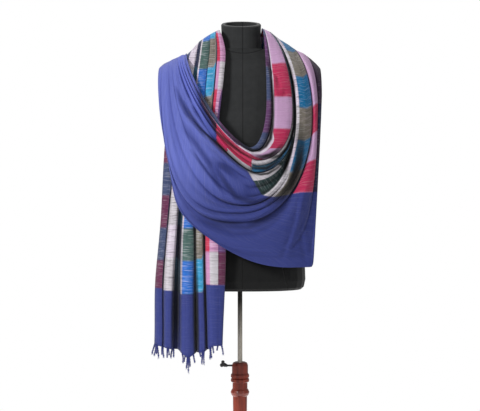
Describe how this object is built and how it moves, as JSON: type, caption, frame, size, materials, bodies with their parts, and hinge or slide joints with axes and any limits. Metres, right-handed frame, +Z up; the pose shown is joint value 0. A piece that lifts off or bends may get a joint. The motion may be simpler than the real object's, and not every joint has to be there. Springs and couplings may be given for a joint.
{
  "type": "pashmina shawl on dress form",
  "caption": "Large check pashmina shawl with a plain blue end and tasselled hem, draped as a cowl over a limbless dress form on a turned stand whose height adjusts.",
  "frame": {"origin": "centre of the base's underside, on the post's axis", "axes": "+Z up along the post, -Y out of the form's chest, +X towards the form's left hand, which is on the right in a front view"},
  "size_m": [0.4487, 0.352, 1.514],
  "materials": {
    "wood": "glossy red-brown lacquer",
    "black_metal": "satin black",
    "steel": "polished",
    "form_cloth": "matt charcoal jersey",
    "shawl_check": "fine twill in blocks of lilac, magenta, taupe, blue, red, green and plum",
    "shawl_cowl": "fine twill, checked along the shoulder and plain blue towards its end",
    "shawl_blue": "fine twill, plain blue",
    "shawl_fringe": "twisted yarn"
  },
  "bodies": {
    "stand": {"base": "wood", "post": "wood"},
    "form": {"rod": "steel", "torso": "form_cloth", "neck_block": "form_cloth", "shawl_tail": "shawl_check", "shawl_tail_fringe": "shawl_fringe", "shawl_back": "shawl_check", "shawl_front": "shawl_cowl", "shawl_end": "shawl_blue"},
    "screw": {"thumbscrew": "black_metal"}
  },
  "joints": [
    {"name": "height_slide", "type": "slide", "parent": "stand", "child": "form", "axis": [0, 0, 1], "range_m": [-0.16, 0.04]},
    {"name": "thumbscrew_turn", "type": "hinge", "parent": "stand", "child": "screw", "pos_m": [-0.05, 0, 0.56], "axis": [-1, 0, 0], "continuous": true}
  ]
}
